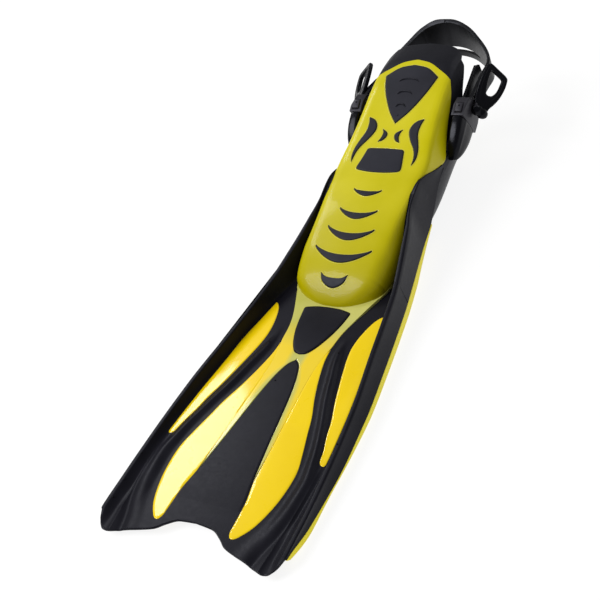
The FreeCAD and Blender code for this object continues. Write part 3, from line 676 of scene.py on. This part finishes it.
# half-width and y of each raised line
shieldMarks = {'ridges': ((12.5, 557), (9.5, 541), (6.2, 525.5)), 'high': 1.5, 'deep': 0.6, 'edge': 1.2,
               'dotY': 512.5, 'dotRadius': 1.0}
for index, (half, y) in enumerate(shieldMarks['ridges']):
    left, right = (-half, y - 3.4), (half, y - 3.4)
    under = softLine([left, (-half * 0.6, y - 1.3), (0, y - 0.6), (half * 0.6, y - 1.3), right])
    over = softLine([left, (-half * 0.62, y + 0.3), (0, y + 1.4), (half * 0.62, y + 0.3), right])
    ridge = slab('instep_ridge_' + str(index + 1), under, over, 40, 8,
                 lambda x, y: onPad(x, y) + shieldMarks['high'],
                 lambda x, y: onPad(x, y) - shieldMarks['deep'], shieldMarks['edge'])
    fitted(ridge, 'fin', 'pad_black', 'blade')
clearSelection()
dotLevel = onPad(0, shieldMarks['dotY']) - 0.2
bpy.ops.mesh.primitive_uv_sphere_add(segments=20, ring_count=10, radius=shieldMarks['dotRadius'] * mm,
                                     location=spot(0, shieldMarks['dotY'], dotLevel))
fitted(rounded('instep_dot', 0.06, 1), 'fin', 'pad_black', 'pad')
print('pads ready')

# blade
blade = {'lift': 10.0, 'tilt': 0.02793, 'thick': 3.0, 'crown': 2.2, 'crownHalf': 74.0, 'end': 318.0,
         'half': 107.3, 'railWide': 5.0, 'halfColumns': 90, 'wallColumns': 8, 'along': 170,
         'shares': [0, 0.24, 0.31, 0.37, 0.43, 0.5, 0.57, 0.65, 0.88, 1],
         'tip': [(0, 5.6), (20, 3.6), (33, -3.6), (42, -10.5), (57, -15.4), (72, -19.4), (84, -23.4),
                 (92, -25.4), (97, -25.0), (102, -21), (105.6, -14.5), (107.3, -6.5)],
         # y, outer x at the top, top z, outer x at the foot, foot z
         'rail': [(-24, 105.5, 10.2, 105.5, 8.0), (-14, 107.5, 12.6, 107.5, 9.5),
                  (-3.6, 110, 15, 110.2, 11.5), (33, 109.4, 16.8, 110.6, 6.9),
                  (86, 106.8, 20.4, 110.2, 5.8), (158, 100.4, 25.6, 105.8, 8.4),
                  (225, 89.8, 30.6, 95.8, 9.5), (302, 78.4, 37.4, 82, 10.5), (344.5, 70.6, 47.4, 73.4, 13),
                  (381, 63.4, 58.8, 66, 16), (408, 57.6, 69.5, 61.6, 19), (422, 57.4, 74, 60.4, 22),
                  (434, 57.2, 76.2, 59.8, 28), (446, 57.8, 74, 59.5, 36), (457, 58.4, 69.8, 59.3, 44),
                  (468, 58.9, 65.2, 59.2, 50), (482, 58.9, 60.4, 59.0, 55)],
         'wallFoot': [(-25, 96), (0, 95.5), (33, 95.5), (80, 96.4), (110, 95.6), (158, 91.8), (195, 86.6),
                      (232, 81.2), (264, 75.5), (287, 71.2), (318, 62.5), (345, 58.0), (381, 57), (436, 54)],
         # y, x, height, half-width of the rib between the inlays
         'rib': [(-24, 66, 0.9, 9.0), (-6, 70, 1.2, 8.5), (18, 78.5, 1.9, 7.5), (45, 84, 2.6, 6.4),
                 (72, 85.5, 3.0, 5.6), (96, 81.5, 3.1, 5.0), (118, 76, 3.1, 4.8), (142, 68.5, 3.1, 4.6),
                 (170, 58.5, 3.1, 4.6), (198, 50.5, 3.0, 4.4), (222, 44, 2.3, 4.0), (240, 41.5, 0.6, 3.0),
                 (252, 41.5, 0.0, 3.0)],
         'crest': [(-25, 88.5, 1.5), (20, 91.5, 1.7), (60, 93.2, 1.2), (96, 92.0, 0.3), (110, 92.0, 0.0)]}


def bladePlane(y):
    return blade['lift'] + y * blade['tilt']


def railInner(y, edge):
    return edge - blade['railWide'] * smooth((y + 24) / 24 + 0.25)


def bladeTop(x, y):
    x = abs(x)
    z = bladePlane(y)
    z += blade['crown'] * max(1 - (x / blade['crownHalf']) ** 2, 0) * smooth((300 - y) / 70)
    across = (x - curveAt(blade['rib'], y, 1)) * 0.94
    wide, high = curveAt(blade['rib'], y, 3), curveAt(blade['rib'], y, 2)
    z += high * math.exp(-abs(across / wide) ** 2.2)
    off = x - curveAt(blade['crest'], y, 1)
    z += curveAt(blade['crest'], y, 2) * math.exp(-abs(off) / (5.0 if off < 0 else 2.4))
    z -= 1.4 * bell((x - curveAt(blade['rib'], y, 1) - 11) / 4.5) * smooth((70 - y) / 60)
    foot, edge = curveAt(blade['wallFoot'], y), curveAt(blade['rail'], y, 1)
    inner = railInner(y, edge)
    if x > foot:
        rise = curveAt(blade['rail'], y, 2) - z
        z += rise * min((x - foot) / (inner - foot), 1) ** 1.7
    if x > inner:  # the rail's top is rounded off
        off = min((x - inner) / (edge - inner), 1) * 2 - 1
        z -= (0.9 if off > 0 else 0.3) * off ** 4
    else:
        z -= 0.3 * max(1 - (inner - x) / 1.5, 0)
    return z


def bladeLow(x, y):
    x = abs(x)
    z = bladePlane(y) - blade['thick']
    z += blade['crown'] * 0.85 * max(1 - (x / blade['crownHalf']) ** 2, 0) * smooth((300 - y) / 70)
    foot, edge = curveAt(blade['wallFoot'], y), curveAt(blade['rail'], y, 3)
    share = smooth((x - foot + 4) / (edge - 7 - foot + 4))
    return mixed(z, min(curveAt(blade['rail'], y, 4), bladeTop(x, y) - 0.8), share)


def columnX(share, y, edge):  # mesh lines follow the rib, the crest, the foot of the wall and the rail
    ribX, wide = curveAt(blade['rib'], y, 1), curveAt(blade['rib'], y, 3)
    foot = curveAt(blade['wallFoot'], y)
    crest = min(curveAt(blade['crest'], y, 1), foot - 1.5)
    inner = railInner(y, edge)
    marks = [0, ribX - 1.9 * wide, ribX - 0.8 * wide, ribX, min(ribX + 0.8 * wide, crest - 3),
             min(ribX + 1.9 * wide, crest - 1.5), crest, foot, max(inner, foot + 0.5), edge]
    k = 0
    shares = blade['shares']
    while k < len(marks) - 2 and shares[k + 1] < share:
        k += 1
    return mixed(marks[k], marks[k + 1], (share - shares[k]) / (shares[k + 1] - shares[k]))


def bladePlace(u, w):
    half, wall = blade['halfColumns'], blade['wallColumns']
    n = round(u * (4 * half + 2 * wall))
    w = w ** 1.12
    if 2 * half < n < 2 * half + wall or n > 4 * half + wall:
        t = (n - 2 * half) / wall if n < 4 * half else 1 - (n - 4 * half - wall) / wall
        side = 1 if n < 4 * half else -1
        y = mixed(curveAt(blade['tip'], blade['half']), blade['end'], w)
        topX, footX = curveAt(blade['rail'], y, 1), curveAt(blade['rail'], y, 3) - 0.3
        topZ, footZ = bladeTop(topX, y), bladeLow(footX, y)
        if w == 0:
            topZ = footZ = (topZ + footZ) / 2
            footX = topX
        return spot(side * (mixed(topX, footX, t) - 0.5 * math.sin(math.pi * t)), y, mixed(topZ, footZ, t))
    above = n <= 2 * half
    share = (n - half) / half if above else 1 - (n - 2 * half - wall) / half
    x = blade['half'] * abs(share)
    for _ in range(4):
        y = mixed(curveAt(blade['tip'], x), blade['end'], w)
        edge = curveAt(blade['rail'], y, 1 if above or w == 0 else 3) - (0 if above or w == 0 else 0.3)
        x = columnX(abs(share), y, edge)
    x = math.copysign(x, share)
    if w == 0:
        return spot(x, y, (bladeTop(x, y) + bladeLow(x, y)) / 2)
    return spot(x, y, bladeTop(x, y) if above else bladeLow(x, y))


columns = 4 * blade['halfColumns'] + 2 * blade['wallColumns']
sheet = sewn(gridSheet('blade_sheet', columns, blade['along'], bladePlace), 0.00003, True)
fitted(sheet, 'fin', 'blade_black', 'blade', 'blade_frame', 'mid_rib_R', 'mid_rib_L', 'side_rail_R',
       'side_rail_L', angle=42)
print('blade sheet', len(sheet.data.polygons))

# rails where they run up the pocket
rearRail = {'from': 317.6, 'to': 482.0, 'along': 84, 'wall': 12}


def pocketSideAt(y, z):
    return profileSpot(pocketRow(y), levelOf(y, z))[0]


def rearRing(y):
    topX, topZ, footX, footZ = [curveAt(blade['rail'], y, col) for col in (1, 2, 3, 4)]
    wide = blade['railWide'] * mixed(1, 0.35, smooth((y - 350) / 80))
    bladeZ = bladeTop(curveAt(blade['wallFoot'], y) - 1, y)
    floorZ = mixed(bladeZ, curveAt(pocket['yellowSide'], y) - 1.0, smooth((y - 322) / 50))
    floorZ = min(floorZ, topZ - 0.5)
    inFoot = max(curveAt(blade['wallFoot'], y), pocketSideAt(y, floorZ) + 0.2)
    inTop = max(topX - wide, inFoot + 0.2)
    ring = [(pocketSideAt(y, footZ + 2) - 1.6, footZ + 1.2), (footX - 5, footZ), (footX - 0.6, footZ),
            (footX, footZ + 0.6)]
    ring += [(mixed(footX, topX, t) - 0.5 * math.sin(math.pi * t), mixed(footZ, topZ - 0.9, t))
             for t in (0.2, 0.4, 0.6, 0.8, 1.0)]
    ring += [(topX - 0.5 * wide * (1 - math.cos(a)), topZ - 0.9 + 0.9 * math.sin(a))
             for a in (0.5, 1.0, 1.57, 2.1)]
    for k in range(rearRail['wall'] + 1):
        t = 1 - k / rearRail['wall']
        ring.append((mixed(inFoot, inTop, t), floorZ + (topZ - 0.35 - floorZ) * t ** 1.7))
    ring.append((pocketSideAt(y, floorZ) - 1.6, floorZ))
    return ring


def makeRearRail(side):
    rings = [rearRing(mixed(rearRail['from'], rearRail['to'], k / rearRail['along']))
             for k in range(rearRail['along'] + 1)]
    count = len(rings[0])

    def place(u, w):
        k = round(w * rearRail['along'])
        x, z = rings[k][round(u * count) % count]
        return spot(side * x, mixed(rearRail['from'], rearRail['to'], w), z)
    name = 'rear_rail_' + ('R' if side > 0 else 'L')
    rail = sewn(gridSheet(name, count, rearRail['along'], place), 0.00001, True)
    return fitted(rail, 'fin', 'blade_black', 'blade')


for side in (1, -1):
    makeRearRail(side)

# yellow strips under the rails
strip = {'wide': 6.0, 'from': -6.0, 'to': 426.0, 'along': 120,
         'low': [(-6, 10.5), (-3.6, 7.5), (33, 0.3), (60, 2.4), (86, 3.6), (158, 1.4), (225, 0.3), (302, 0.3),
                 (344.5, 2), (381, 8), (404, 13), (426, 20.5)]}


def makeStrip(side):
    corners = [(-1, 0), (-0.12, 0), (0, 0.06), (0, 0.5), (0, 0.94), (-0.12, 1), (-1, 1)]

    def place(u, w):
        y = mixed(strip['from'], strip['to'], w)
        footX = curveAt(blade['rail'], y, 3) - 0.15
        footZ, lowZ = curveAt(blade['rail'], y, 4) + 0.05, curveAt(strip['low'], y)
        cx, cz = corners[round(u * len(corners)) % len(corners)]
        return spot(side * (footX + cx * strip['wide']), y, mixed(lowZ, footZ, cz))
    name = 'rail_strip_' + ('R' if side > 0 else 'L')
    made = sewn(gridSheet(name, len(corners), strip['along'], place), 0.00001, True)
    return fitted(made, 'fin', 'inlay_yellow', 'strip', 'rail_stripe_' + name[-1])


for side in (1, -1):
    makeStrip(side)
print('rails ready')

# inlays
inlay = {'leafHigh': 0.45, 'panelHigh': 0.7, 'shieldHigh': 1.7, 'yokeHigh': 0.55, 'below': 0.3, 'edge': 1.2,
         'yokeEdge': 0.7}
leafOuter = [(38.8, 13), (39.3, 5), (42.5, -0.8), (47.5, -0.5), (54.5, 7), (61, 18), (68, 40), (71.3, 62),
             (71.3, 84), (66.5, 104), (59.5, 128), (54.5, 146), (45, 171), (37, 197), (32.3, 219),
             (31.5, 236)]
leafInner = chain([(38.8, 13), (37.3, 39), (33, 62)],
                  [(33, 62), (30.5, 105), (27.5, 150), (25.5, 195), (27.5, 222), (31.5, 236)])
wingInner = [(93.6, 95.8), (90.6, 96.0), (87.6, 99.2), (84.3, 113), (78.5, 132), (75, 147), (67.5, 170),
             (62, 190), (57, 210), (53.5, 226), (52, 240), (53.5, 257), (59, 277), (64, 285), (68, 287.5)]
wingOuter = [(93.6, 95.8), (95.4, 97.6), (95.3, 104), (93, 128), (90, 155), (84.5, 195), (80, 232), (73, 264),
             (68, 287.5)]
panelSide = chain([(0, 12.2), (38.6, 13)], [(38.6, 13), (37.3, 39), (33, 62)],
                  [(33, 62), (29.5, 84), (25.5, 110), (21.5, 140), (17, 170), (12, 192), (6.5, 206),
                   (0, 212.5)])
guardSide = chain([(0, 219.0), (7.4, 221.2), (14.4, 230), (22.2, 248), (26.4, 264), (29.4, 281.5)],
                  [(29.4, 281.5), (28.4, 284.6), (25, 286)], [(25, 286), (14, 288.4), (0, 289.2)])


def tipFade(y):  # 1 at the tip, 0 further back
    return 1 - smooth((y - 6) / 50)


def raised(high, fade=0.0):  # with a fade the piece sinks into the blade at its tip end
    return lambda x, y: bladeTop(x, y) + high - fade * tipFade(y)


def sunk(x, y):
    return bladeLow(x, y) - inlay['below']


def leafPair(name, outer, inner, node, rows, cols):
    top = raised(inlay['leafHigh'])
    lines = {'R': (inner, outer), 'L': (mirroredLine(outer), mirroredLine(inner))}
    for side, (lineA, lineB) in lines.items():
        leaf = slab(name + '_' + side, lineA, lineB, rows, cols, top, sunk, inlay['edge'])
        fitted(leaf, 'fin', 'inlay_yellow', 'leaf', node + '_' + side)


leafPair('inner_leaf', softLine(leafOuter), leafInner, 'inner_inlay', 110, 18)
leafPair('outer_leaf', softLine(wingOuter), softLine(wingInner), 'outer_inlay', 100, 14)
panel = slab('middle_panel', mirroredLine(panelSide), panelSide, 120, 34,
             raised(inlay['panelHigh'], inlay['panelHigh'] + 0.5),
             lambda x, y: sunk(x, y) + 0.8 * tipFade(y), 1.4)
fitted(panel, 'fin', 'blade_black', 'blade', 'centre_panel')

yokeInner = chain([(33, 60), (29.5, 84), (25.5, 110), (21.5, 140), (17, 170), (12, 192), (6.5, 206),
                   (0, 212.5)],
                  [(0, 212.5), (0, 250), (0, 326)])
yokeOuter = chain([(33, 60), (31.4, 105), (28.6, 150), (26.8, 195), (28.8, 222), (31.5, 236)],
                  [(31.5, 236), (33.5, 255), (38, 272), (45, 291), (50.6, 305), (55.4, 318), (57.4, 330)],
                  [(57.4, 330), (0, 326)])


def yokeTop(x, y):
    rise = 2.2 * smooth((y - 262) / 46) * smooth((abs(x) - 4) / 40)
    return bladeTop(x, y) + inlay['yokeHigh'] + rise


def halfYoke(side):
    a = [(side * x, y) for x, y in paced(yokeInner, 150)]
    b = [(side * x, y) for x, y in paced(yokeOuter[:-10], 150)]
    outside = [(side * x, y) for x, y in paced(yokeOuter[:-10], 70)]
    inside = [(side * x, y) for x, y in paced(yokeInner[:71], 60)]

    def place(u, w):
        k = round(w * 150)
        under = u > 0.5
        v = 2 - 2 * u if under else 2 * u
        v = smooth(v) * 0.6 + v * 0.4
        x, y = mixed(a[k][0], b[k][0], v), mixed(a[k][1], b[k][1], v)
        far = min(fromLine(x, y, outside), fromLine(x, y, inside))
        near = 1 - min(far / inlay['yokeEdge'], 1) if y < 308 else 0
        lift = math.sqrt(1 - near * near)
        low, high = sunk(x, y), yokeTop(x, y)
        return spot(x, y, mixed(mixed(low, high, 0.6), low if under else high, lift))
    made = sewn(gridSheet('yoke_' + ('R' if side > 0 else 'L'), 52, 150, place), 0.00002, True)
    nodes = ['neck_yoke'] if side > 0 else []
    return fitted(made, 'fin', 'pocket_yellow', 'yoke', *nodes, angle=40)


halfYoke(1)
halfYoke(-1)
guard = slab('neck_guard', mirroredLine(guardSide), guardSide, 90, 30,
             lambda x, y: yokeTop(x, y) + inlay['shieldHigh'] * (1 - (x / 60) ** 2), bladeLow, 2.2)
fitted(guard, 'fin', 'blade_black', 'blade', 'neck_shield')
# small marks left by the mould: x, y, radius
marks = [(-9, 182, 0.9), (42.6, 229, 0.9), (-42.6, 229, 0.9), (-103.5, 62, 1.1), (-104.5, 30, 1.3),
         (-104.5, 8, 1.3), (101, 118, 0.9)]
for index, (x, y, radius) in enumerate(marks):
    clearSelection()
    level = bladeTop(x, y) + (inlay['panelHigh'] if abs(x) < 20 else 0)
    bpy.ops.mesh.primitive_cylinder_add(vertices=20, radius=radius * mm, depth=0.9 * mm,
                                        location=spot(x, y, level))
    fitted(rounded('mould_mark_' + str(index + 1), 0.2), 'fin', 'blade_black', 'mark')
print('inlays ready')

# buckles and strap
def roundedCopy(node, name, body, slot, finish, width, segments=3):
    # the solid's own mesh, merged, its flats joined and its edges rounded
    clearSelection()
    piece = frame['nodes'][node].copy()
    piece.data = frame['nodes'][node].data.copy()
    piece.name = piece.data.name = name
    piece.parent = None
    for key in list(piece.keys()):
        del piece[key]
    bpy.context.collection.objects.link(piece)
    sewn(piece, 0.00001)
    bpy.ops.object.mode_set(mode='EDIT')
    bpy.ops.mesh.select_all(action='SELECT')
    bpy.ops.mesh.dissolve_limited(angle_limit=math.radians(1.5))
    bpy.ops.object.mode_set(mode='OBJECT')
    worked(piece, 'BEVEL', width=width * mm, segments=segments, limit_method='ANGLE',
           angle_limit=math.radians(28))
    return fitted(piece, body, slot, finish, node, angle=40)


buckle = {'postY': 508.0, 'postZ': 66.0, 'tilt': math.radians(22), 'podIn': 59.3, 'around': 64, 'along': 60,
          'flangeX': 56.7, 'flangeRadius': 7.8, 'flangeThick': 4.6,
          'dotSpot': (66, 38.5, 22.0), 'dotRadius': 1.1, 'dotThick': 0.8,
          # u along the pod, low v, high v, outer x
          'pod': [(-15.6, -4.6, -3.8, 64.5), (-15.0, -6.2, -2.4, 66.0), (-13.4, -8.4, 0.0, 67.8),
                  (-10, -10.6, 3.4, 69.6), (-5, -12.8, 8.0, 71.4), (0, -14.6, 11.4, 72.4),
                  (8, -16.6, 15.2, 73.3), (14, -17.6, 17.2, 73.6), (21, -18.2, 18.8, 73.5),
                  (26.8, -18.4, 19.4, 73.2),
                  (27.5, -18.0, 18.9, 72.6)]}


def buckleSpot(side, x, u, v):
    c, s = math.cos(buckle['tilt']), math.sin(buckle['tilt'])
    return spot(side * x, buckle['postY'] + u * c - v * s, buckle['postZ'] + u * s + v * c)


def power(value, exponent):
    return math.copysign(abs(value) ** exponent, value)


def makePod(side):
    def place(a, w):
        u = mixed(buckle['pod'][0][0], buckle['pod'][-1][0], w)
        low, high, out = [curveAt(buckle['pod'], u, col) for col in (1, 2, 3)]
        turn = 2 * math.pi * a
        c, s = math.cos(turn), math.sin(turn)
        x = mixed(buckle['podIn'], out, 0.5 + 0.5 * power(c, 0.62 if c > 0 else 0.25))
        v = mixed(low, high, 0.5 + 0.5 * power(s, 0.7 if c > 0 else 0.45))
        ridge = 0.6 * bell((v - mixed(low, high, 0.72)) / 1.6) * max(c, 0) * smooth((u + 12) / 10)
        return buckleSpot(side, x + ridge, u, v)
    name = 'pod_shell_' + ('R' if side > 0 else 'L')
    pod = sewn(gridSheet(name, buckle['around'], buckle['along'], place), 0.00001, True)
    return fitted(pod, 'pod_' + name[-1], 'buckle_black', 'buckle', 'pod_' + name[-1], angle=45)


def makePost(side):  # flange that the pod turns on
    name = 'post_flange_' + ('R' if side > 0 else 'L')
    clearSelection()
    bpy.ops.mesh.primitive_cylinder_add(vertices=56, radius=buckle['flangeRadius'] * mm,
                                        depth=buckle['flangeThick'] * mm,
                                        location=spot(side * buckle['flangeX'], buckle['postY'],
                                                      buckle['postZ']),
                                        rotation=(0, math.radians(90), 0))
    return fitted(rounded(name, 0.5), 'fin', 'pocket_black', 'pocketBlack', 'post_' + name[-1])


lever = {'pivot': (79.6, 553.0, 82.0), 'ringTop': (78.4, 596.6, 109.2), 'ringCorner': (92.4, 598.4, 87.3),
         'thick': 5.6, 'groove': 0.8, 'twist': math.radians(16), 'around': 150, 'bar': 28,
         'knuckleHalf': 10.6, 'knuckleLong': 6.6, 'knuckleThick': 5.9, 'knuckleBack': 2.4,
         'outside': [[(0, -2.5), (7, -1), (8.8, 6), (12.2, 14), (15.2, 25), (16, 38), (15.2, 44.5)],
                     [(15.2, 44.5), (13.8, 49), (10, 51)], [(10, 51), (0, 52.6), (-8.5, 54)],
                     [(-8.5, 54), (-12.5, 54), (-15, 51)],
                     [(-15, 51), (-15.8, 40), (-15.2, 27), (-13.2, 14), (-10.2, 4), (-6, -1.5), (0, -2.5)]],
         'inside': [[(1, 19.2), (4.6, 21), (7.6, 25.5), (9.2, 32), (9, 42)], [(9, 42), (8.6, 44), (6.5, 45)],
                    [(6.5, 45), (0, 46), (-5.5, 47)], [(-5.5, 47), (-7.8, 46.6), (-8, 44)],
                    [(-8, 44), (-6.4, 34), (-4, 25), (-2, 20), (1, 19.2)]]}


def leverFrame(side):
    pivot, top, corner = [Vector((side * p[0], p[1], p[2])) for p in
                          (lever['pivot'], lever['ringTop'], lever['ringCorner'])]
    along = ((top + corner) / 2 - pivot).normalized()
    across = corner - top
    across = (across - along * across.dot(along)).normalized()
    if side < 0:  # the left one sits slightly twisted
        across = Matrix.Rotation(lever['twist'], 3, along) @ across
    return pivot, across, along, across.cross(along)


def makeLever(side):
    pivot, across, along, away = leverFrame(side)
    outside, inside = [paced(chain(*lever[rim]), lever['around']) for rim in ('outside', 'inside')]

    def place(u, w):
        k = round(u * lever['around']) % lever['around']
        turn = 2 * math.pi * w
        v = 0.5 - 0.5 * power(math.cos(turn), 0.7)
        a, b = mixed(inside[k][0], outside[k][0], v), mixed(inside[k][1], outside[k][1], v)
        lift = power(math.sin(turn), 0.55) * lever['thick'] / 2
        lift -= math.copysign(lever['groove'] * bell((v - 0.5) / 0.2), lift) if abs(lift) > 0.5 else 0
        return spot(*(pivot + across * a + along * b + away * lift))
    name = 'ring_lever_' + ('R' if side > 0 else 'L')
    ring = sewn(gridSheet(name, lever['around'], lever['bar'], place), 0.00001)
    return fitted(ring, 'lever_' + name[-1], 'buckle_black', 'buckle', 'lever_' + name[-1], angle=50)


def makeKnuckle(side):
    pivot, across, along, away = leverFrame(side)
    clearSelection()
    bpy.ops.mesh.primitive_uv_sphere_add(segments=48, ring_count=24, radius=1.0)
    knuckle = bpy.context.object
    name = 'knuckle_' + ('R' if side > 0 else 'L')
    knuckle.name = knuckle.data.name = name
    for vertex in knuckle.data.vertices:
        x, y, z = vertex.co
        waist = 1 - 0.16 * bell(z / 0.12)
        at = pivot + across * power(z, 0.8) * lever['knuckleHalf']
        at += along * (y * lever['knuckleLong'] - lever['knuckleBack']) * waist
        at += away * x * lever['knuckleThick'] * waist
        vertex.co = spot(*at)
    sewn(knuckle)
    return fitted(knuckle, 'clip_' + name[-1], 'buckle_black', 'buckle', angle=60)


for side in (1, -1):
    makePod(side)
    makePost(side)
    makeLever(side)
    makeKnuckle(side)
for side in 'RL':
    # the clip shell and upper buttons take the lighter copy of the buckle black as painted light; the lower
    # buttons stay black
    for node, name, finish, width in (('clip_', 'clip_shell_', 'buckleGrey', 0.5),
                                      ('upper_button_', 'upper_push_', 'buckleGrey', 0.7),
                                      ('lower_button_', 'lower_push_', 'buckle', 0.7)):
        roundedCopy(node + side, name + side, node + side, 'buckle_black', finish, width)
    roundedCopy('strap_tail_' + side, 'toothed_tail_' + side, 'tail_' + side, 'strap_rubber', 'strap',
                0.35, 2)
    turn = 1 if side == 'R' else -1
    clearSelection()
    bpy.ops.mesh.primitive_cylinder_add(vertices=20, radius=buckle['dotRadius'] * mm,
                                        depth=buckle['dotThick'] * mm,
                                        location=buckleSpot(turn, *buckle['dotSpot']),
                                        rotation=(buckle['tilt'], 0, 0))
    fitted(rounded('push_dot_' + side, 0.2), 'upper_button_' + side, 'buckle_black', 'mark')
band = roundedCopy('heel_strap', 'heel_band', 'strap', 'strap_rubber', 'strap', 0.7)
slack = {'from': 572.0, 'long': 89.7, 'inward': 9.0, 'down': 7.0}
for vertex in band.data.vertices:  # the left half hangs closer in and lower than the right one
    if vertex.co.x < 0:
        share = min(max((vertex.co.y / mm - heelShift - slack['from']) / slack['long'], 0), 1)
        sag = math.sin(math.pi * share)
        vertex.co += Vector((slack['inward'] * mm * sag, 0, -slack['down'] * mm * sag))
print('buckles ready')
